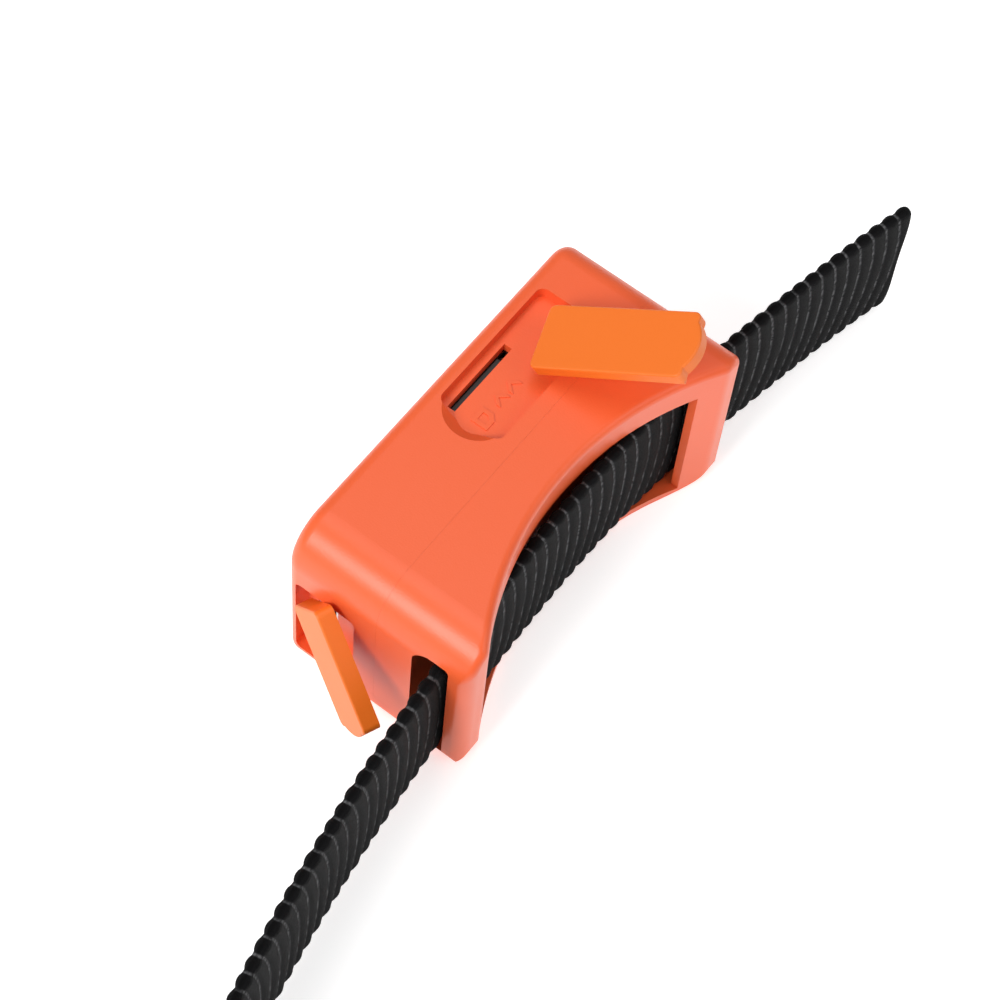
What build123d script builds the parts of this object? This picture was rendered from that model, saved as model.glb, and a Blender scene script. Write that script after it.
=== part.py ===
"""Collar tracker: a two-piece moulded housing on a webbing strap, with two tethered rubber plugs.

Frame: millimetres, +Z up. The tracker lies on its side, so Z is the strap's width.
X is the housing's length, +Y its flat outer side and -Y its hollow neck side.
The origin is on the resting face, under the middle of the housing's length and depth.
"""
import os

from build123d import *

os.makedirs("parts", exist_ok=True)

# housing
BODY_LENGTH = 63.0
BODY_DEPTH = 31.0
BODY_HEIGHT = 32.8
NEAR_CROWN_RADIUS = 7.0
FAR_CROWN_RADIUS = 4.0
BASE_CORNER_RADIUS = 2.5
OUTER_EDGE_RADIUS = 2.0
NECK_RADIUS = 50.6
NECK_DEPTH = 8.1
TIP_RADIUS = 2.0
RIM_RADIUS = 1.2
TIP_BASE_RADIUS = 4.0
HALF_LENGTH = BODY_LENGTH / 2
HALF_DEPTH = BODY_DEPTH / 2

# cavity for the electronics
CAVITY_X = (-26.8, 29.3)
CAVITY_Y = (-4.9, 13.7)
CAVITY_Z = (2.0, 29.4)
PARTING_GAP = 0.016

# strap channel and the window in the neck side
CHANNEL_Y = (-12.1, -6.1)
CHANNEL_Z = (1.4, 27.3)
WINDOW_HALF_LENGTH = 23.8
WINDOW_EDGE_RADIUS = 0.6

# pocket over the card slot, in the top face
CARD_POCKET_X = (-1.9, 21.85)
CARD_POCKET_Y = (2.35, 13.0)
CARD_POCKET_DEPTH = 1.9
CARD_POCKET_CORNER = 1.3
CARD_SLOT_X = (-1.0, 11.95)
CARD_SLOT_Y = (10.55, 11.85)
SCOOP_CENTRE = (0.4, 7.7)
SCOOP_RADIUS = 5.0
SCOOP_FLOOR_RADIUS = 2.9

# pocket over the charging port, in the near end face
PORT_POCKET_Y = (3.7, 13.85)
PORT_POCKET_Z = (2.7, 22.0)
PORT_POCKET_DEPTH = 3.0
PORT_POCKET_CORNER = 1.0
PORT_CENTRE = (10.4, 11.3)
PORT_SIZE = (3.2, 8.94)
PORT_MOUTH = (2.56, 8.34)

# soft plugs: cap, seal and ball stem
CARD_CAP_LENGTH = 23.7
CARD_CAP_WIDTH = 10.25
CARD_CAP_THICKNESS = 1.9
CARD_CAP_TAB = 1.3
CARD_PIVOT = (3.27, 3.14)
CARD_PLUG_CORNER = (13.88, 7.56, 35.15)
CARD_PLUG_ALONG = (0.236, -0.846, 0.478)
CARD_PLUG_ACROSS = (0.942, 0.321, 0.103)
PORT_CAP_LENGTH = 18.5
PORT_CAP_WIDTH = 9.85
PORT_CAP_THICKNESS = 2.6
PORT_CAP_TAB = 0.9
PORT_PIVOT = (1.8, 4.9)
PORT_PLUG_CORNER = (-32.6, 13.47, 17.28)
PORT_PLUG_ALONG = (-0.321, -0.730, -0.604)
PORT_PLUG_ACROSS = (-0.208, -0.568, 0.797)
CARD_BALL_RADIUS = 1.15
CARD_BALL_DEPTH = 3.1
PORT_BALL_RADIUS = 1.0
PORT_BALL_DEPTH = 1.5
SOCKET_CLEARANCE = 0.05
BOSS_RADIUS = 1.75
BOSS_HEIGHT = 1.75
NECK_OF_STEM_RADIUS = 0.5
SHANK_RADIUS = 0.95
STEM_BORE_RADIUS = 1.0
FLANGE_RADIUS = 1.5

# strap
STRAP_WIDTH = 25.0
STRAP_THICKNESS = 2.0
STRAP_BASE = 1.7
STRAP_ROUTE = [(70.2, -18.4), (60.6, -15.7), (9.15, -7.15), (-67.3, -13.15), (-100.0, -22.84)]
STRAP_RETURN = [(-100.0, -22.84), (-130.9, -32.0), (-129.9, -69.5), (-43.6, -90.2)]
STRAP_GENTLE_RADIUS = 165.0
STRAP_RETURN_RADIUS = 24.0

# screws through the outer shell into the neck shell
SCREW_RADIUS = 1.0
SCREW_HEAD_RADIUS = 1.9
SCREW_HEAD_HEIGHT = 1.2
BOSS_OUTER_RADIUS = 2.3
BOSS_POINTS = [(-23.2, 4.4), (-23.2, 25.6), (25.8, 4.4), (25.8, 25.6)]


def span_box(x_range, y_range, z_range):
    """A box given by its limits along X, Y and Z."""
    size = (x_range[1] - x_range[0], y_range[1] - y_range[0], z_range[1] - z_range[0])
    middle = (sum(x_range) / 2, sum(y_range) / 2, sum(z_range) / 2)
    return Pos(*middle) * Box(*size)


def upright_rod(x, y, low, high, radius):
    """A cylinder along Z between two heights."""
    return Pos(x, y, (low + high) / 2) * Cylinder(radius, high - low)


def depth_rod(x, z, start, end, radius):
    """A cylinder along Y between two depths."""
    return Pos(x, (start + end) / 2, z) * Rot(90, 0, 0) * Cylinder(radius, end - start)


def at_corner(vertices, x, y):
    """The vertices of a sketch that sit at one corner."""
    return [v for v in vertices if abs(v.X - x) < 0.01 and abs(v.Y - y) < 0.01]


def housing_block():
    """The solid outer form: crowned in side view, hollowed on the neck side."""
    side = Pos(0, BODY_HEIGHT / 2) * Rectangle(BODY_LENGTH, BODY_HEIGHT)
    side = fillet(at_corner(side.vertices(), -HALF_LENGTH, BODY_HEIGHT), NEAR_CROWN_RADIUS)
    side = fillet(at_corner(side.vertices(), HALF_LENGTH, BODY_HEIGHT), FAR_CROWN_RADIUS)
    side = fillet(at_corner(side.vertices(), HALF_LENGTH, 0), BASE_CORNER_RADIUS)
    side = fillet(at_corner(side.vertices(), -HALF_LENGTH, 0), BASE_CORNER_RADIUS)
    plan = Rectangle(BODY_LENGTH, BODY_DEPTH)
    plan -= Pos(0, NECK_DEPTH - HALF_DEPTH - NECK_RADIUS) * Circle(NECK_RADIUS)
    plan = fillet([v for v in plan.vertices() if v.Y < 0.01 - HALF_DEPTH], TIP_RADIUS)
    block = extrude(Plane.XZ * side, HALF_DEPTH, both=True)
    block &= extrude(plan, BODY_HEIGHT)
    outer_face = block.faces().sort_by(Axis.Y)[-1]
    return fillet(outer_face.edges(), OUTER_EDGE_RADIUS)


def strap_channel():
    """The clear space the strap runs through, from end to end."""
    width = CHANNEL_Y[1] - CHANNEL_Y[0]
    height = CHANNEL_Z[1] - CHANNEL_Z[0]
    mouth = Pos(sum(CHANNEL_Y) / 2, sum(CHANNEL_Z) / 2) * Rectangle(width, height)
    mouth = fillet(at_corner(mouth.vertices(), CHANNEL_Y[1], CHANNEL_Z[1]), 3.0)
    mouth = fillet(at_corner(mouth.vertices(), CHANNEL_Y[0], CHANNEL_Z[1]), 0.8)
    return extrude(Plane.YZ * mouth, HALF_LENGTH + 5, both=True)


def neck_window():
    """The opening in the neck side between the two strap bars."""
    inner_y = (CHANNEL_Y[0] + CHANNEL_Y[1]) / 2
    return span_box((-WINDOW_HALF_LENGTH, WINDOW_HALF_LENGTH), (-HALF_DEPTH - 2, inner_y), CHANNEL_Z)


def card_pocket():
    """The shallow pocket over the card slot, with its thumb scoop and the slot itself."""
    floor_z = BODY_HEIGHT - CARD_POCKET_DEPTH
    pocket = span_box(CARD_POCKET_X, CARD_POCKET_Y, (floor_z, BODY_HEIGHT + 1))
    pocket = fillet(pocket.edges().filter_by(Axis.Z), CARD_POCKET_CORNER)
    scoop = Pos(*SCOOP_CENTRE, floor_z + CARD_POCKET_DEPTH / 2) * Cone(
        SCOOP_FLOOR_RADIUS, SCOOP_RADIUS, CARD_POCKET_DEPTH)
    slot = span_box(CARD_SLOT_X, CARD_SLOT_Y, (CAVITY_Z[1] - 1, floor_z + 0.5))
    return pocket + scoop + slot


def card_symbol():
    """Raised plain marks on the pocket floor: a card outline and two arrow heads."""
    floor_z = BODY_HEIGHT - CARD_POCKET_DEPTH
    outline = Polygon((-0.7, 5.3), (1.1, 5.3), (2.0, 6.1), (2.0, 8.1), (-0.7, 8.1), align=None)
    gap = Polygon((0.0, 6.0), (0.8, 6.0), (1.3, 6.5), (1.3, 7.4), (0.0, 7.4), align=None)
    marks = extrude(Pos(0, 0, floor_z) * (outline - gap), 0.15)
    for start_x in (3.4, 6.2):
        chevron = Polygon((start_x, 6.0), (start_x + 1.1, 7.2), (start_x + 2.2, 6.0),
                          (start_x + 2.2, 6.7), (start_x + 1.1, 7.9), (start_x, 6.7), align=None)
        marks += extrude(Pos(0, 0, floor_z) * chevron, 0.15)
    return marks


def port_pocket():
    """The pocket over the charging port, with the port's hole through its back wall."""
    back_x = -HALF_LENGTH + PORT_POCKET_DEPTH
    pocket = span_box((-HALF_LENGTH - 1, back_x), PORT_POCKET_Y, PORT_POCKET_Z)
    pocket = fillet(pocket.edges().filter_by(Axis.X), PORT_POCKET_CORNER)
    half_y = PORT_SIZE[0] / 2 + 0.1
    half_z = PORT_SIZE[1] / 2 + 0.1
    hole_y = (PORT_CENTRE[0] - half_y, PORT_CENTRE[0] + half_y)
    hole_z = (PORT_CENTRE[1] - half_z, PORT_CENTRE[1] + half_z)
    return pocket + span_box((back_x - 1, CAVITY_X[0] + 1), hole_y, hole_z)


def gasket_ring(width, depth):
    """A rectangular ring in the wall at the parting plane, on its neck side."""
    ring_x = (-28.8, 30.5)
    ring_z = (0.6, 31.0)
    outline = Rectangle(ring_x[1] - ring_x[0], ring_z[1] - ring_z[0])
    outline = fillet(outline.vertices(), 4)
    inside = offset(outline, -width)
    ring = Pos(sum(ring_x) / 2, sum(ring_z) / 2) * (outline - inside)
    return extrude(Plane.XZ * ring, depth)


def plug_frame(corner, along, across):
    """Plane of a plug's cap: origin mid-way along its hinge end, X along it, Z outwards."""
    return Plane(origin=corner, x_dir=along, z_dir=Vector(*along).cross(Vector(*across)))


def plug_cap(length, width, thickness, tab):
    """A flat soft cap from its hinge end at X = 0, with a rounded finger tab at the free end."""
    plate = Pos(length / 2, 0) * Rectangle(length, width)
    plate = fillet(plate.vertices(), 1.0)
    half_tab = 0.35 * width
    tab_radius = (half_tab ** 2 + tab ** 2) / (2 * tab)
    bulge = Pos(length + tab - tab_radius, 0) * Circle(tab_radius)
    bulge &= Pos(length, 0) * Rectangle(2 * tab + 1, width)
    cap = extrude(plate + bulge, -thickness)
    return fillet(cap.faces().sort_by(Axis.Z)[-1].edges(), 0.3)


def ball_space(pivot, ball_depth, ball_radius):
    """The room a cap needs for the ball and for its stem to lean."""
    room = Sphere(ball_radius + SOCKET_CLEARANCE)
    room += Pos(0, 0, -ball_radius) * Cone(2.95 * ball_radius, 0.3, 2 * ball_radius)
    return Pos(pivot[0], pivot[1], -ball_depth) * room


def card_plug_cap():
    """Cap of the card plug with its ball socket, in place."""
    frame = plug_frame(CARD_PLUG_CORNER, CARD_PLUG_ALONG, CARD_PLUG_ACROSS)
    cap = plug_cap(CARD_CAP_LENGTH, CARD_CAP_WIDTH, CARD_CAP_THICKNESS, CARD_CAP_TAB)
    boss_middle = -CARD_CAP_THICKNESS - BOSS_HEIGHT / 2
    cap += Pos(CARD_PIVOT[0], CARD_PIVOT[1], boss_middle) * Cylinder(BOSS_RADIUS, BOSS_HEIGHT)
    cap -= ball_space(CARD_PIVOT, CARD_BALL_DEPTH, CARD_BALL_RADIUS)
    return frame.location * cap


def card_plug_seal():
    """The thin rib under the cap that fills the card slot."""
    frame = plug_frame(CARD_PLUG_CORNER, CARD_PLUG_ALONG, CARD_PLUG_ACROSS)
    rib = Pos(16.2, -3.5, -CARD_CAP_THICKNESS - 1.1) * Box(12.4, 0.8, 2.2)
    return frame.location * rib


def port_plug_cap():
    """Cap of the charging-port plug with its ball socket, in place."""
    frame = plug_frame(PORT_PLUG_CORNER, PORT_PLUG_ALONG, PORT_PLUG_ACROSS)
    cap = plug_cap(PORT_CAP_LENGTH, PORT_CAP_WIDTH, PORT_CAP_THICKNESS, PORT_CAP_TAB)
    cap = Pos(0, PORT_CAP_WIDTH / 2, 0) * cap
    cap -= ball_space(PORT_PIVOT, PORT_BALL_DEPTH, PORT_BALL_RADIUS)
    return frame.location * cap


def port_plug_seal():
    """The low block under the cap that fills the charging port."""
    frame = plug_frame(PORT_PLUG_CORNER, PORT_PLUG_ALONG, PORT_PLUG_ACROSS)
    block = Pos(10.6, 3.3, -PORT_CAP_THICKNESS - 0.25) * Box(7.0, 1.9, 0.5)
    return frame.location * block


def card_ball():
    """Centre of the card plug's ball."""
    frame = plug_frame(CARD_PLUG_CORNER, CARD_PLUG_ALONG, CARD_PLUG_ACROSS)
    return (frame.location * Pos(CARD_PIVOT[0], CARD_PIVOT[1], -CARD_BALL_DEPTH)).position


def port_ball():
    """Centre of the port plug's ball."""
    frame = plug_frame(PORT_PLUG_CORNER, PORT_PLUG_ALONG, PORT_PLUG_ACROSS)
    return (frame.location * Pos(PORT_PIVOT[0], PORT_PIVOT[1], -PORT_BALL_DEPTH)).position


def ball_stem(ball_radius, shank_reach, wall, total):
    """A stem hanging down from a ball at the origin: neck, shank and a flange behind the wall."""
    stem = Sphere(ball_radius)
    stem += upright_rod(0, 0, -shank_reach, 0, NECK_OF_STEM_RADIUS)
    stem += upright_rod(0, 0, -total, -shank_reach, SHANK_RADIUS)
    stem += upright_rod(0, 0, -total, -wall - 0.1, FLANGE_RADIUS)
    return stem


def card_plug_stem():
    """Upright stem that tethers the card plug to the floor of its pocket."""
    ball = card_ball()
    floor_z = BODY_HEIGHT - CARD_POCKET_DEPTH
    stem = ball_stem(CARD_BALL_RADIUS, ball.Z - floor_z - 0.6, ball.Z - CAVITY_Z[1],
                     ball.Z - CAVITY_Z[1] + 0.8)
    return Pos(ball.X, ball.Y, ball.Z) * stem


def port_plug_stem():
    """Lengthwise stem that tethers the port plug to the back of its pocket."""
    ball = port_ball()
    back_x = -HALF_LENGTH + PORT_POCKET_DEPTH
    stem = ball_stem(PORT_BALL_RADIUS, back_x - ball.X - 0.6, CAVITY_X[0] - ball.X,
                     CAVITY_X[0] - ball.X + 0.8)
    return Pos(ball.X, ball.Y, ball.Z) * Rot(0, -90, 0) * stem


def housing():
    """The whole moulded housing, hollow, before it is parted into its two shells."""
    body = housing_block()
    rim = [e for e in body.edges() if e.center().Y < -3 and e.center().Z > BODY_HEIGHT - 0.01]
    body = fillet(rim, RIM_RADIUS)
    profile = Pos(0, BODY_HEIGHT / 2) * Rectangle(BODY_DEPTH, BODY_HEIGHT)
    profile = fillet(at_corner(profile.vertices(), -HALF_DEPTH, 0), TIP_BASE_RADIUS)
    body &= extrude(Plane.YZ * profile, HALF_LENGTH, both=True)
    cavity = span_box(CAVITY_X, CAVITY_Y, CAVITY_Z)
    for x, z in BOSS_POINTS:
        cavity -= depth_rod(x, z, CAVITY_Y[0] - 1, CAVITY_Y[1] + 1, BOSS_OUTER_RADIUS)
    body -= cavity
    body -= strap_channel()
    body -= neck_window()
    body -= card_pocket()
    body -= port_pocket()
    body += card_symbol()
    head_y = HALF_DEPTH - SCREW_HEAD_HEIGHT
    for x, z in BOSS_POINTS:
        body -= depth_rod(x, z, CAVITY_Y[0] + 0.6, HALF_DEPTH + 1, SCREW_RADIUS + 0.05)
        body -= depth_rod(x, z, head_y - 0.3, HALF_DEPTH + 1, SCREW_HEAD_RADIUS + 0.1)
    ball = card_ball()
    body -= upright_rod(ball.X, ball.Y, CAVITY_Z[1] - 1, BODY_HEIGHT + 1, STEM_BORE_RADIUS)
    ball = port_ball()
    bore = Pos(-HALF_LENGTH + 2, ball.Y, ball.Z) * Rot(0, 90, 0) * Cylinder(STEM_BORE_RADIUS, 8)
    return body - bore


def outer_shell(body):
    """The flat outer half of the housing."""
    return body & span_box((-40, 40), (PARTING_GAP / 2, 20), (-5, 40))


def neck_shell(body):
    """The hollowed half that carries the strap, with the gasket's groove in its wall."""
    half = body & span_box((-40, 40), (-20, -PARTING_GAP / 2), (-5, 40))
    return half - gasket_ring(1.2, 1.0)


def gasket():
    """The rubber ring that seals the two shells."""
    return gasket_ring(1.0, 0.9)


def screws():
    """Four screws from the outer face into the neck shell."""
    head_y = HALF_DEPTH - SCREW_HEAD_HEIGHT - 0.3
    solids = []
    for x, z in BOSS_POINTS:
        screw = depth_rod(x, z, CAVITY_Y[0] + 0.9, head_y, SCREW_RADIUS)
        screw += depth_rod(x, z, head_y, head_y + SCREW_HEAD_HEIGHT, SCREW_HEAD_RADIUS)
        hexagon = extrude(Plane.XZ * RegularPolygon(0.9, 6), 0.7)
        screw -= Pos(x, head_y + SCREW_HEAD_HEIGHT, z) * hexagon
        solids.append(screw)
    return Compound(children=solids)


def battery():
    """Pouch cell against the neck side."""
    cell = span_box((-19.4, 18.0), (-4.6, 0.9), (3.0, 28.0))
    return fillet(cell.edges().filter_by(Axis.X), 1.5)


def main_board():
    """Main circuit board."""
    board = span_box((-19.4, 22.0), (2.2, 3.2), (2.8, 28.2))
    return fillet(board.edges().filter_by(Axis.Y), 1.0)


def patch_antenna():
    """Ceramic satellite-positioning antenna."""
    tile = span_box((-18.2, -0.2), (3.2, 7.2), (6.0, 24.0))
    tile += Pos(-9.2, 7.2, 15) * Rot(90, 0, 0) * Cylinder(1.0, 0.6)
    return chamfer(tile.faces().sort_by(Axis.Y)[0].edges(), 0.2)


def shield_can():
    """Sheet-metal screen over the processor."""
    can = span_box((2.6, 20.0), (3.2, 6.0), (4.0, 18.4))
    return fillet(can.edges().filter_by(Axis.Y), 0.8)


def radio_module():
    """Cellular radio module."""
    return span_box((2.6, 20.0), (3.2, 5.6), (19.4, 27.6))


def buzzer():
    """Round sounder, standing off the board behind the shield can."""
    drum = depth_rod(15.4, 10.4, 6.0, 9.0, 4.2)
    return drum - depth_rod(15.4, 10.4, 8.6, 9.5, 0.7)


def tail_antenna():
    """Flexible cellular antenna along the far end wall."""
    return span_box((28.5, 28.8), (1.0, 13.0), (9.2, 21.8))


def card_holder():
    """Metal holder that guides the data card."""
    shell = span_box((-1.5, 12.45), (10.2, 12.25), (18.6, 29.3))
    hollow = span_box((-0.75, 11.7), (10.75, 11.65), (19.6, 30))
    return shell - hollow


def card_board():
    """Small board that carries the card holder."""
    return span_box((-6.0, 16.0), (12.25, 13.05), (16.0, 28.8))


def data_card():
    """Small data card with one clipped corner, standing in its slot."""
    outline = Polygon((-0.68, 20.9), (11.62, 20.9), (11.62, 28.1), (10.0, 29.7), (-0.68, 29.7),
                      align=None)
    return Pos(0, 11.54, 0) * extrude(Plane.XZ * outline, 0.67)


def port_shell():
    """Metal shell of the charging port."""
    front = -HALF_LENGTH + PORT_POCKET_DEPTH + 0.1
    outside = Pos(PORT_CENTRE[0], PORT_CENTRE[1]) * RectangleRounded(*PORT_SIZE, 1.2)
    mouth = Pos(PORT_CENTRE[0], PORT_CENTRE[1]) * RectangleRounded(*PORT_MOUTH, 1.0)
    shell = Pos(front, 0, 0) * extrude(Plane.YZ * outside, 7.2)
    return shell - Pos(front - 1, 0, 0) * extrude(Plane.YZ * mouth, 7.2)


def port_tongue():
    """Contact tongue inside the charging port."""
    tip = -HALF_LENGTH + PORT_POCKET_DEPTH + 0.9
    half = (0.35, 3.35)
    y_range = (PORT_CENTRE[0] - half[0], PORT_CENTRE[0] + half[0])
    z_range = (PORT_CENTRE[1] - half[1], PORT_CENTRE[1] + half[1])
    return span_box((tip, tip + 5.4), y_range, z_range)


def port_board():
    """Small board that carries the charging port."""
    seat_y = PORT_CENTRE[0] + PORT_SIZE[0] / 2
    return span_box((-26.4, -19.6), (seat_y, seat_y + 0.8), (7.0, 15.6))


def strap():
    """Flat webbing standing on its edge, through the channel and away past the near end."""
    line = FilletPolyline(*STRAP_ROUTE, radius=STRAP_GENTLE_RADIUS).edges()
    line += FilletPolyline(*STRAP_RETURN, radius=STRAP_RETURN_RADIUS).edges()
    band = Sketch() + [trace(piece, STRAP_THICKNESS) for piece in line]
    return Pos(0, 0, STRAP_BASE) * extrude(band, STRAP_WIDTH)


def main():
    """Build every part and write one file for each."""
    body = housing()
    parts = {
        "outer_shell": outer_shell(body),
        "neck_shell": neck_shell(body),
        "gasket": gasket(),
        "screws": screws(),
        "battery": battery(),
        "main_board": main_board(),
        "patch_antenna": patch_antenna(),
        "shield_can": shield_can(),
        "radio_module": radio_module(),
        "buzzer": buzzer(),
        "tail_antenna": tail_antenna(),
        "card_holder": card_holder(),
        "card_board": card_board(),
        "data_card": data_card(),
        "port_shell": port_shell(),
        "port_tongue": port_tongue(),
        "port_board": port_board(),
        "card_plug_stem": card_plug_stem(),
        "card_plug_cap": card_plug_cap(),
        "card_plug_seal": card_plug_seal(),
        "port_plug_stem": port_plug_stem(),
        "port_plug_cap": port_plug_cap(),
        "port_plug_seal": port_plug_seal(),
        "strap": strap(),
    }
    for name, shape in parts.items():
        export_step(shape, f"parts/{name}.step")
        size = shape.bounding_box().size
        print(f"{name}: {shape.is_valid} {size.X:.1f} x {size.Y:.1f} x {size.Z:.1f} mm")
    print("card plug ball", card_ball())
    print("port plug ball", port_ball())


main()
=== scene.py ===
"""Looks of the collar tracker: finishes, woven strap, camera and lights over the shared frame."""

import logging
import math
from dataclasses import dataclass
from enum import Enum

import bmesh
import bpy
import numpy as np
from mathutils import Matrix, Vector


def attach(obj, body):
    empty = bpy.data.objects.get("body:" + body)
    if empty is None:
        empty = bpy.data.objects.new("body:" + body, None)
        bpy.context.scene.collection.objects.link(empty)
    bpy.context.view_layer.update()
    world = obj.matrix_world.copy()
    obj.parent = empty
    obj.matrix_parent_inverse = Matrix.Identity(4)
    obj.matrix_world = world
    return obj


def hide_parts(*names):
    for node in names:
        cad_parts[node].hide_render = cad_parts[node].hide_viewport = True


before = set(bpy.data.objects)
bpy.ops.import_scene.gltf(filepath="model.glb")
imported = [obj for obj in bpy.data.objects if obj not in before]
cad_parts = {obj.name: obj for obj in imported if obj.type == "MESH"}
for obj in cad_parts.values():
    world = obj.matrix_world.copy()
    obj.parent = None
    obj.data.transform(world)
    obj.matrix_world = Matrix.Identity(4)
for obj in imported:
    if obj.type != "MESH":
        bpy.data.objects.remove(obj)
log = logging.getLogger("tracker")

GRAIN_GROUP = "mould_grain"
WEBBING_GROUP = "ribbed_webbing"
RIB_ATTRIBUTE = "rib"
WEAVE_ATTRIBUTE = "weave"

YARN_COLOR = (0.004, 0.004, 0.0045)
THREAD_COLOR = (0.15, 0.15, 0.155)
WHITE = (1.0, 1.0, 1.0, 1.0)


class Surface(Enum):
    """Names of the finishes, each shared by every part made of it."""

    HOUSING = "moulded_housing"
    PLUG = "moulded_plug"
    WEBBING = "ribbed_nylon"
    SEAL = "gasket_rubber"
    STEEL = "connector_steel"
    SCREEN = "tinned_screen"
    # Painted shade: the card holder's metal is near black so that the card slot reads as dark
    # shade.
    HOLDER_SLOT_SHADE = "holder_painted_slot_shade"
    POUCH = "pouch_foil"
    BOARD = "circuit_board"
    CERAMIC = "fired_ceramic"
    FILM = "antenna_film"
    BLACK = "dark_plastic"
    # Painted shade: the data card is near black so that the card slot reads as dark shade.
    CARD_SLOT_SHADE = "card_painted_slot_shade"
    FLOOR = "studio_floor"


class NodeKit:
    """Small helper that adds and links nodes in one tree."""

    def __init__(self, tree: bpy.types.NodeTree) -> None:
        self.tree = tree

    def add(self, kind: str, **settings) -> bpy.types.Node:
        """Add a node.

        Args:
            kind: Blender's node type name.
            settings: Attributes to set on the node.

        Returns:
            The new node.
        """
        node = self.tree.nodes.new(kind)
        for name, value in settings.items():
            setattr(node, name, value)
        return node

    def link(self, source: bpy.types.NodeSocket, target: bpy.types.NodeSocket) -> None:
        """Join an output socket to an input socket."""
        self.tree.links.new(source, target)

    def noise(self, place: bpy.types.NodeSocket, scale: float, detail: float) -> bpy.types.Node:
        """Add a noise pattern.

        Args:
            place: The coordinates that it reads.
            scale: Its scale, per metre of those coordinates.
            detail: Its number of octaves.

        Returns:
            The noise node.
        """
        node = self.add("ShaderNodeTexNoise")
        node.inputs["Scale"].default_value = scale
        node.inputs["Detail"].default_value = detail
        self.link(place, node.inputs["Vector"])
        return node

    def ramp(self, value: bpy.types.NodeSocket, start: float, end: float) -> bpy.types.NodeSocket:
        """Turn a value into a smooth step from 0 at start to 1 at end.

        Args:
            value: The value.
            start: Where the step begins.
            end: Where the step ends.

        Returns:
            The stepped value.
        """
        node = self.add("ShaderNodeMapRange", interpolation_type="SMOOTHSTEP")
        node.inputs["From Min"].default_value = start
        node.inputs["From Max"].default_value = end
        self.link(value, node.inputs["Value"])
        return node.outputs["Result"]

    def product(self, first: bpy.types.NodeSocket,
                second: bpy.types.NodeSocket) -> bpy.types.NodeSocket:
        """Multiply two values.

        Args:
            first: One value.
            second: The other value.

        Returns:
            Their product.
        """
        node = self.add("ShaderNodeMath", operation="MULTIPLY")
        self.link(first, node.inputs[0])
        self.link(second, node.inputs[1])
        return node.outputs[0]


def effect_group(name: str, inputs: dict[str, tuple], outputs: dict[str, str]) -> tuple:
    """Make a shader node group with named sockets.

    Args:
        name: The group's name.
        inputs: Socket name to (socket type, default value).
        outputs: Socket name to socket type.

    Returns:
        The node helper of the new group, its input node and its output node.
    """
    group = bpy.data.node_groups.new(name, "ShaderNodeTree")
    for label, (kind, default) in inputs.items():
        socket = group.interface.new_socket(label, in_out="INPUT", socket_type=kind)
        socket.default_value = default
    for label, kind in outputs.items():
        group.interface.new_socket(label, in_out="OUTPUT", socket_type=kind)
    kit = NodeKit(group)
    return kit, kit.add("NodeGroupInput"), kit.add("NodeGroupOutput")


@dataclass(frozen=True)
class MouldGrain:
    """Fine moulded grain: a height for bump and a slight wander of roughness."""

    fine_scale: float = 2500.0
    fine_detail: float = 2.0
    broad_scale: float = 120.0
    broad_detail: float = 2.0
    wander: float = 0.06

    def build(self) -> None:
        """Make the node group."""
        kit, start, end = effect_group(
            GRAIN_GROUP,
            {"Scale": ("NodeSocketFloat", self.fine_scale),
             "Roughness": ("NodeSocketFloat", 0.4),
             "Wander": ("NodeSocketFloat", self.wander)},
            {"Height": "NodeSocketFloat", "Roughness": "NodeSocketFloat"},
        )
        place = kit.add("ShaderNodeTexCoord").outputs["Object"]
        fine = kit.noise(place, self.fine_scale, self.fine_detail)
        kit.link(start.outputs["Scale"], fine.inputs["Scale"])
        broad = kit.noise(place, self.broad_scale, self.broad_detail)
        shift = kit.add("ShaderNodeMath", operation="SUBTRACT")
        shift.inputs[1].default_value = 0.5
        kit.link(broad.outputs["Fac"], shift.inputs[0])
        spread = kit.add("ShaderNodeMath", operation="MULTIPLY_ADD")
        kit.link(shift.outputs[0], spread.inputs[0])
        kit.link(start.outputs["Wander"], spread.inputs[1])
        kit.link(start.outputs["Roughness"], spread.inputs[2])
        kit.link(fine.outputs["Fac"], end.inputs["Height"])
        kit.link(spread.outputs[0], end.inputs["Roughness"])


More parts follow.
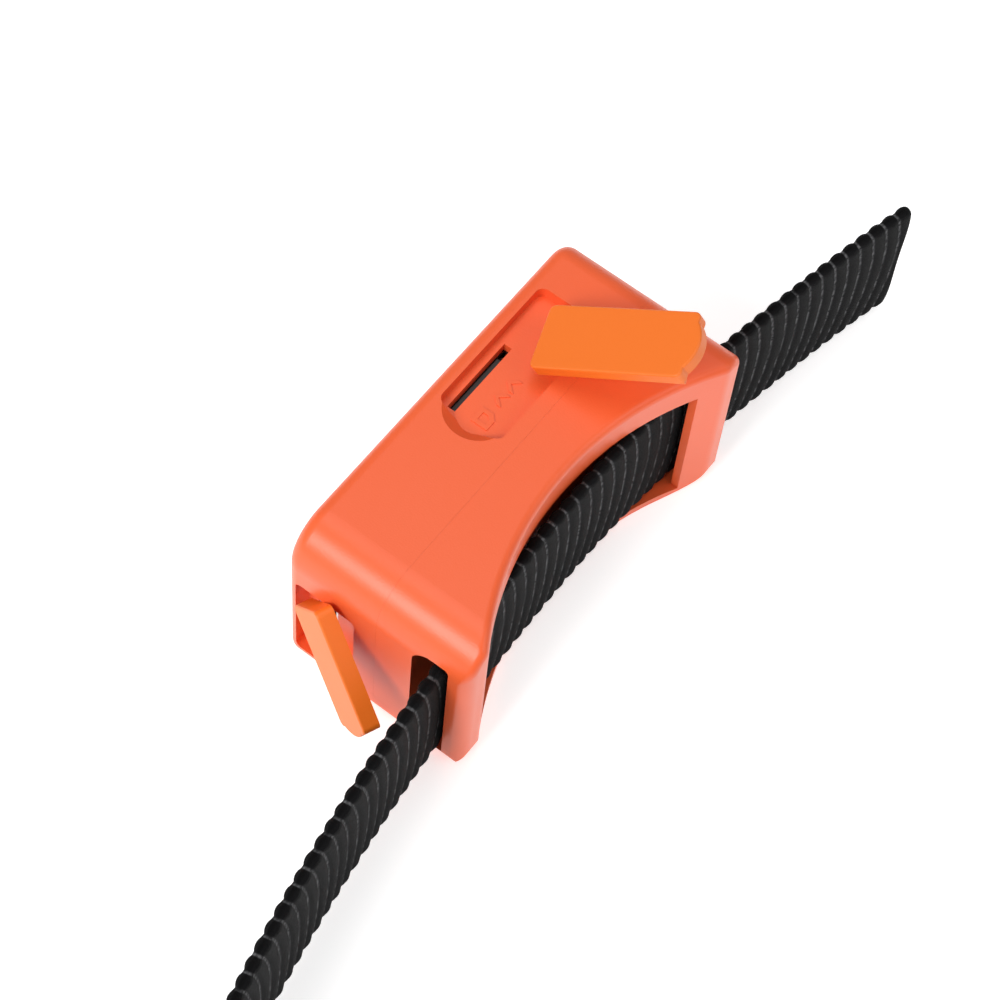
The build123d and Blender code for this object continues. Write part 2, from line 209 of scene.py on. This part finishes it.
@dataclass(frozen=True)
class RibbedWeave:
    """Woven nylon: black yarn, paler thread in the grooves between ribs and fine fibre."""

    thread_amount: float = 0.9
    fibre_stretch: tuple[float, float, float] = (2200.0, 5200.0, 1.0)
    fibre_detail: float = 3.0
    breakup_scale: float = 1400.0
    breakup_detail: float = 2.0
    groove_from: float = 0.5
    groove_to: float = 0.12
    patch_from: float = 0.28
    patch_to: float = 0.55

    def build(self) -> None:
        """Make the node group."""
        kit, start, end = effect_group(
            WEBBING_GROUP,
            {"Yarn": ("NodeSocketColor", (*YARN_COLOR, 1.0)),
             "Thread": ("NodeSocketColor", (*THREAD_COLOR, 1.0)),
             "Thread Amount": ("NodeSocketFloat", self.thread_amount)},
            {"Color": "NodeSocketColor", "Height": "NodeSocketFloat"},
        )
        rib = kit.add("ShaderNodeAttribute", attribute_name=RIB_ATTRIBUTE)
        weave = kit.add("ShaderNodeAttribute", attribute_name=WEAVE_ATTRIBUTE)
        stretch = kit.add("ShaderNodeVectorMath", operation="MULTIPLY")
        stretch.inputs[1].default_value = self.fibre_stretch
        kit.link(weave.outputs["Vector"], stretch.inputs[0])
        fibre = kit.noise(stretch.outputs["Vector"], 1.0, self.fibre_detail)
        breakup = kit.noise(weave.outputs["Vector"], self.breakup_scale, self.breakup_detail)
        groove = kit.ramp(rib.outputs["Fac"], self.groove_from, self.groove_to)
        patch = kit.ramp(breakup.outputs["Fac"], self.patch_from, self.patch_to)
        amount = kit.product(kit.product(groove, patch), start.outputs["Thread Amount"])
        mix = kit.add("ShaderNodeMix", data_type="RGBA")
        kit.link(amount, mix.inputs["Factor"])
        kit.link(start.outputs["Yarn"], mix.inputs["A"])
        kit.link(start.outputs["Thread"], mix.inputs["B"])
        kit.link(mix.outputs["Result"], end.inputs["Color"])
        kit.link(fibre.outputs["Fac"], end.inputs["Height"])


@dataclass(frozen=True)
class Finish:
    """A plain shader: one colour with even gloss."""

    surface: Surface
    color: tuple[float, float, float]
    roughness: float = 0.5
    metallic: float = 0.0
    specular: float = 0.5

    def shader(self) -> tuple:
        """Make the material and set its constants.

        Returns:
            The material, its node helper and its shader node.
        """
        material = bpy.data.materials.new(self.surface.value)
        material.use_nodes = True
        kit = NodeKit(material.node_tree)
        shader = material.node_tree.nodes["Principled BSDF"]
        shader.inputs["Base Color"].default_value = (*self.color, 1.0)
        shader.inputs["Roughness"].default_value = self.roughness
        shader.inputs["Metallic"].default_value = self.metallic
        shader.inputs["Specular IOR Level"].default_value = self.specular
        return material, kit, shader

    @staticmethod
    def add_bump(kit: NodeKit, shader: bpy.types.Node, height: bpy.types.NodeSocket,
                 strength: float, distance: float) -> None:
        """Put a bump between a height and the shader's normal.

        Args:
            kit: The material's node helper.
            shader: The shader node.
            height: The height from 0 to 1.
            strength: The bump's strength.
            distance: The depth of a height of 1, in metres.
        """
        bump = kit.add("ShaderNodeBump")
        bump.inputs["Strength"].default_value = strength
        bump.inputs["Distance"].default_value = distance
        kit.link(height, bump.inputs["Height"])
        kit.link(bump.outputs["Normal"], shader.inputs["Normal"])

    def build(self) -> bpy.types.Material:
        """Build the material.

        Returns:
            The finished material.
        """
        return self.shader()[0]


@dataclass(frozen=True)
class MouldedFinish(Finish):
    """Satin moulded plastic or rubber with a fine grain."""

    grain_depth: float = 0.00003
    grain_scale: float = 3600.0
    grain_strength: float = 0.5

    def build(self) -> bpy.types.Material:
        """Build the material with its grain.

        Returns:
            The finished material.
        """
        material, kit, shader = self.shader()
        grain = kit.add("ShaderNodeGroup", node_tree=bpy.data.node_groups[GRAIN_GROUP])
        grain.inputs["Scale"].default_value = self.grain_scale
        grain.inputs["Roughness"].default_value = self.roughness
        kit.link(grain.outputs["Roughness"], shader.inputs["Roughness"])
        self.add_bump(kit, shader, grain.outputs["Height"], self.grain_strength, self.grain_depth)
        return material


@dataclass(frozen=True)
class WebbingFinish(Finish):
    """Black ribbed nylon."""

    fibre_depth: float = 0.0003
    fibre_strength: float = 0.8

    def build(self) -> bpy.types.Material:
        """Build the material with its yarn and fibre.

        Returns:
            The finished material.
        """
        material, kit, shader = self.shader()
        weave = kit.add("ShaderNodeGroup", node_tree=bpy.data.node_groups[WEBBING_GROUP])
        kit.link(weave.outputs["Color"], shader.inputs["Base Color"])
        self.add_bump(kit, shader, weave.outputs["Height"], self.fibre_strength, self.fibre_depth)
        return material


@dataclass(frozen=True)
class FloorFinish(Finish):
    """Pale studio paper that glows a little, so that it reads as white."""

    glow: float = 0.55

    def build(self) -> bpy.types.Material:
        """Build the material with its glow.

        Returns:
            The finished material.
        """
        material, _, shader = self.shader()
        shader.inputs["Emission Color"].default_value = WHITE
        shader.inputs["Emission Strength"].default_value = self.glow
        return material


FINISHES = (
    MouldedFinish(Surface.HOUSING, (0.90, 0.128, 0.034), roughness=0.36),
    MouldedFinish(Surface.PLUG, (0.88, 0.175, 0.012), roughness=0.46),
    WebbingFinish(Surface.WEBBING, YARN_COLOR, roughness=0.8, specular=0.12),
    Finish(Surface.SEAL, (0.02, 0.02, 0.02), roughness=0.6),
    Finish(Surface.STEEL, (0.62, 0.62, 0.62), roughness=0.3, metallic=1.0),
    Finish(Surface.SCREEN, (0.72, 0.70, 0.66), roughness=0.32, metallic=1.0),
    # Painted shade: the card holder's metal is darkened to near black so that the card slot reads
    # as dark shade.
    Finish(Surface.HOLDER_SLOT_SHADE, (0.03, 0.03, 0.032), roughness=0.25, metallic=1.0),
    Finish(Surface.POUCH, (0.6, 0.6, 0.62), roughness=0.4, metallic=0.8),
    Finish(Surface.BOARD, (0.01, 0.09, 0.04), roughness=0.4),
    Finish(Surface.CERAMIC, (0.5, 0.4, 0.28), roughness=0.7),
    Finish(Surface.FILM, (0.25, 0.1, 0.02), roughness=0.35),
    Finish(Surface.BLACK, (0.01, 0.01, 0.01), roughness=0.5),
    # Painted shade: the data card is darkened to near black so that the card slot reads as dark
    # shade.
    Finish(Surface.CARD_SLOT_SHADE, (0.02, 0.02, 0.02), roughness=0.45),
    FloorFinish(Surface.FLOOR, (0.95, 0.95, 0.95), roughness=0.9, specular=0.1),
)

NODE_SURFACES = {
    "outer_shell": Surface.HOUSING,
    "neck_shell": Surface.HOUSING,
    "gasket": Surface.SEAL,
    "screws": Surface.STEEL,
    "battery": Surface.POUCH,
    "main_board": Surface.BOARD,
    "patch_antenna": Surface.CERAMIC,
    "shield_can": Surface.SCREEN,
    "radio_module": Surface.SCREEN,
    "buzzer": Surface.BLACK,
    "tail_antenna": Surface.FILM,
    "card_holder": Surface.HOLDER_SLOT_SHADE,
    "card_board": Surface.BOARD,
    "data_card": Surface.CARD_SLOT_SHADE,
    "port_shell": Surface.STEEL,
    "port_tongue": Surface.BLACK,
    "port_board": Surface.BOARD,
    "card_plug_stem": Surface.PLUG,
    "card_plug_cap": Surface.PLUG,
    "card_plug_seal": Surface.PLUG,
    "port_plug_stem": Surface.PLUG,
    "port_plug_cap": Surface.PLUG,
    "port_plug_seal": Surface.PLUG,
}


@dataclass
class Housing:
    """The moulded shells, the plugs and everything inside, which keep their CAD shapes."""

    def dress(self) -> None:
        """Give each CAD part its finish."""
        for node, surface in NODE_SURFACES.items():
            material = bpy.data.materials[surface.value]
            for slot in bpy.data.objects[node].material_slots:
                slot.material = material
            log.info("%s dressed in %s", node, surface.value)


@dataclass
class Strap:
    """Ribbed webbing that follows one free route through the channel. Sizes are in metres."""

    width: float = 0.025
    thickness: float = 0.002
    middle_z: float = 0.0142
    length: float = 0.318
    route: tuple[tuple[float, float], ...] = (
        (0.0702, -0.0184), (0.0606, -0.0157), (0.00915, -0.00715), (-0.0673, -0.01315),
        (-0.1309, -0.0320), (-0.1299, -0.0695), (-0.0436, -0.0902),
    )
    route_steps: int = 60
    rib_pitch: float = 0.0026
    rib_depth: float = 0.00050
    rib_bow: float = 0.0019
    rib_roundness: float = 0.7
    rib_rest: float = 0.75
    rings_per_rib: int = 6
    face_steps: int = 34
    edge_steps: int = 5
    surface_inset: float = 0.0001
    wander_spread: float = 0.05
    wander_knots: int = 90
    wander_seed: int = 7
    back_offset: float = 0.1
    merge_distance: float = 0.00001
    most_smooth_corners: int = 9
    piece: bpy.types.Object | None = None

    def centre_line(self) -> np.ndarray:
        """Read the points of the route's spline.

        Returns:
            Points along the strap's middle line, in metres.
        """
        curve = bpy.data.curves.new("strap_route", "CURVE")
        curve.dimensions = "3D"
        curve.resolution_u = self.route_steps
        spline = curve.splines.new("NURBS")
        spline.points.add(len(self.route) - 1)
        for point, (x, y) in zip(spline.points, self.route):
            point.co = (x, y, self.middle_z, 1.0)
        spline.order_u = 3
        spline.use_endpoint_u = True
        guide = bpy.data.objects.new("strap_route", curve)
        mesh = bpy.data.meshes.new_from_object(guide)
        line = np.array([v.co[:] for v in mesh.vertices])
        bpy.data.objects.remove(guide)
        bpy.data.curves.remove(curve)
        bpy.data.meshes.remove(mesh)
        return line

    @staticmethod
    def resample(line: np.ndarray, step: float) -> tuple[np.ndarray, np.ndarray, float]:
        """Space points evenly along a line.

        Args:
            line: Points along the line.
            step: Wanted spacing, in metres.

        Returns:
            The points, their distance along the line and the total length.
        """
        reach = np.concatenate([[0.0], np.cumsum(np.linalg.norm(np.diff(line, axis=0), axis=1))])
        total = float(reach[-1])
        along = np.linspace(0.0, total, int(total / step) + 1)
        points = np.stack([np.interp(along, reach, line[:, axis]) for axis in range(3)], axis=1)
        return points, along, total

    def section(self) -> np.ndarray:
        """Outline of the strap's cross-section, once round and back to its first row.

        Returns:
            Rows of (outward, up, normal outward, normal up), in metres.
        """
        half = self.thickness / 2 - self.surface_inset
        top = self.width / 2 - half
        rows = []
        for side in (1, -1):
            for k in range(self.face_steps):
                level = side * top * (1 - 2 * k / self.face_steps)
                rows.append((side * half, level, side, 0.0))
            for k in range(self.edge_steps):
                turn = math.pi * k / self.edge_steps
                out, up = math.cos(turn) * side, -math.sin(turn) * side
                rows.append((out * half, -side * top + up * half, out, up))
        return np.array(rows + rows[:1])

    def ribs(self, along: np.ndarray, level: np.ndarray) -> np.ndarray:
        """Height of the woven ribs, bowed across the width and slightly uneven.

        Args:
            along: Distance of each ring, in metres.
            level: Place of each row across the width, from -1 to 1.

        Returns:
            A grid of heights from 0 in a groove to 1 on a rib, by ring and row.
        """
        bow = self.rib_bow * (1 - level ** 2)
        phase = (along[:, None] + bow[None, :]) / self.rib_pitch
        rng = np.random.default_rng(self.wander_seed)
        knots = np.linspace(0, along[-1], self.wander_knots)
        wander = np.interp(along, knots, rng.normal(0, self.wander_spread, self.wander_knots))
        return np.abs(np.sin(math.pi * (phase + wander[:, None]))) ** self.rib_roundness

    def build(self) -> None:
        """Model the band as a grid rolled round the section and swept along the route."""
        step = self.rib_pitch / self.rings_per_rib
        points, along, total = self.resample(self.centre_line(), step)
        section = self.section()
        rings, sides = len(points), len(section) - 1
        bpy.ops.object.select_all(action="DESELECT")
        bpy.ops.mesh.primitive_grid_add(x_subdivisions=sides, y_subdivisions=rings - 1, size=1)
        self.piece = bpy.context.object
        self.piece.name = "webbing"
        ahead = np.gradient(points, axis=0)
        ahead /= np.linalg.norm(ahead, axis=1)[:, None]
        outward = np.stack([ahead[:, 1], -ahead[:, 0], np.zeros(rings)], axis=1)
        up = np.array([0.0, 0.0, 1.0])
        rib = self.ribs(along, section[:, 1] / (self.width / 2))
        lift = (rib - self.rib_rest) * self.rib_depth
        reach_out = section[None, :, 0] + lift * section[None, :, 2]
        reach_up = section[None, :, 1] + lift * section[None, :, 3]
        place = points[:, None, :] + outward[:, None, :] * reach_out[..., None]
        place = place + up * reach_up[..., None]
        mesh = self.piece.data
        mesh.vertices.foreach_set("co", place.reshape(-1))
        self.write_attributes(mesh, along, section, rib)
        self.close(mesh)
        self.piece.data.materials.append(bpy.data.materials[Surface.WEBBING.value])
        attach(self.piece, "housing")
        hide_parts("strap")
        log.info("webbing %d x %d, %.4f m", rings, sides, total)

    def write_attributes(self, mesh: bpy.types.Mesh, along: np.ndarray, section: np.ndarray,
                         rib: np.ndarray) -> None:
        """Store rib height and woven coordinates for the material.

        Args:
            mesh: The strap's mesh.
            along: Distance of each ring.
            section: Section rows, with the first repeated at the end.
            rib: Rib height of every point.
        """
        height = mesh.attributes.new(RIB_ATTRIBUTE, "FLOAT", "POINT")
        height.data.foreach_set("value", rib.reshape(-1).astype(np.float32))
        weave = mesh.attributes.new(WEAVE_ATTRIBUTE, "FLOAT_VECTOR", "POINT")
        table = np.zeros((len(along), len(section), 3), np.float32)
        table[:, :, 0] = along[:, None]
        table[:, :, 1] = section[None, :, 1] + self.back_offset * (section[None, :, 0] < 0)
        weave.data.foreach_set("vector", table.reshape(-1))

    def close(self, mesh: bpy.types.Mesh) -> None:
        """Merge the rolled seam, cap both cut ends and turn the faces outwards.

        Args:
            mesh: The strap's mesh.
        """
        shape = bmesh.new()
        shape.from_mesh(mesh)
        bmesh.ops.remove_doubles(shape, verts=shape.verts, dist=self.merge_distance)
        bmesh.ops.holes_fill(shape, edges=[e for e in shape.edges if e.is_boundary], sides=0)
        bmesh.ops.recalc_face_normals(shape, faces=shape.faces)
        for face in shape.faces:
            face.smooth = len(face.verts) <= self.most_smooth_corners
        shape.to_mesh(mesh)
        shape.free()


@dataclass(frozen=True)
class SoftLight:
    """A square area light that faces one point. Places and sizes are in metres."""

    name: str
    place: tuple[float, float, float]
    size: float
    power: float
    target: tuple[float, float, float] = (0, 0, 0.02)

    def build(self) -> None:
        """Add the light."""
        data = bpy.data.lights.new(self.name, "AREA")
        data.size, data.energy = self.size, self.power
        lamp = bpy.data.objects.new(self.name, data)
        bpy.context.collection.objects.link(lamp)
        lamp.location = self.place
        lamp.rotation_mode = "QUATERNION"
        gaze = Vector(self.target) - Vector(self.place)
        lamp.rotation_quaternion = gaze.to_track_quat("-Z", "Y")


@dataclass
class Studio:
    """Camera, pale floor and soft lights. Places and sizes are in metres."""

    camera_place: tuple[float, float, float] = (-0.167583, -0.099836, 0.372204)
    camera_right: tuple[float, float, float] = (0.60450524, -0.79461785, 0.05617723)
    camera_up: tuple[float, float, float] = (0.68299121, 0.55329721, 0.47684926)
    lens_mm: float = 104.0
    sensor_mm: float = 36.0
    nearest: float = 0.01
    farthest: float = 20.0
    floor_size: float = 6.0
    world_strength: float = 0.30
    lights: tuple[SoftLight, ...] = (
        SoftLight("key", (-0.9, 0.15, 0.75), 0.5, 9.0),
        SoftLight("fill", (0.3, -1.0, 0.9), 0.8, 3.0),
        SoftLight("top", (0.1, 0.2, 1.3), 0.8, 4.5),
    )

    def camera(self) -> None:
        """Place the camera."""
        data = bpy.data.cameras.new("camera")
        data.lens = self.lens_mm
        data.sensor_width = self.sensor_mm
        data.clip_start, data.clip_end = self.nearest, self.farthest
        camera = bpy.data.objects.new("camera", data)
        bpy.context.collection.objects.link(camera)
        right, up = Vector(self.camera_right), Vector(self.camera_up)
        turn = Matrix((right, up, right.cross(up))).transposed()
        camera.matrix_world = Matrix.Translation(self.camera_place) @ turn.to_4x4()
        bpy.context.scene.camera = camera

    def floor(self) -> None:
        """Lay a wide pale floor under the resting face."""
        bpy.ops.object.select_all(action="DESELECT")
        bpy.ops.mesh.primitive_plane_add(size=self.floor_size, location=(0, 0, 0))
        floor = bpy.context.object
        floor.name = "studio_floor"
        floor.data.materials.append(bpy.data.materials[Surface.FLOOR.value])

    def world(self) -> None:
        """Fill the surroundings with even white light and show colours plainly."""
        world = bpy.data.worlds.new("studio")
        world.use_nodes = True
        back = world.node_tree.nodes["Background"]
        back.inputs["Color"].default_value = WHITE
        back.inputs["Strength"].default_value = self.world_strength
        bpy.context.scene.world = world
        bpy.context.scene.view_settings.view_transform = "Standard"

    def build(self) -> None:
        """Set up the whole studio."""
        self.camera()
        self.floor()
        for light in self.lights:
            light.build()
        self.world()
        log.info("studio with %d lights", len(self.lights))


def main() -> None:
    """Dress the tracker, weave its strap and light it."""
    logging.basicConfig(level=logging.INFO)
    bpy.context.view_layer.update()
    MouldGrain().build()
    RibbedWeave().build()
    for finish in FINISHES:
        finish.build()
    Housing().dress()
    Strap().build()
    Studio().build()


if __name__ == "__main__":
    main()
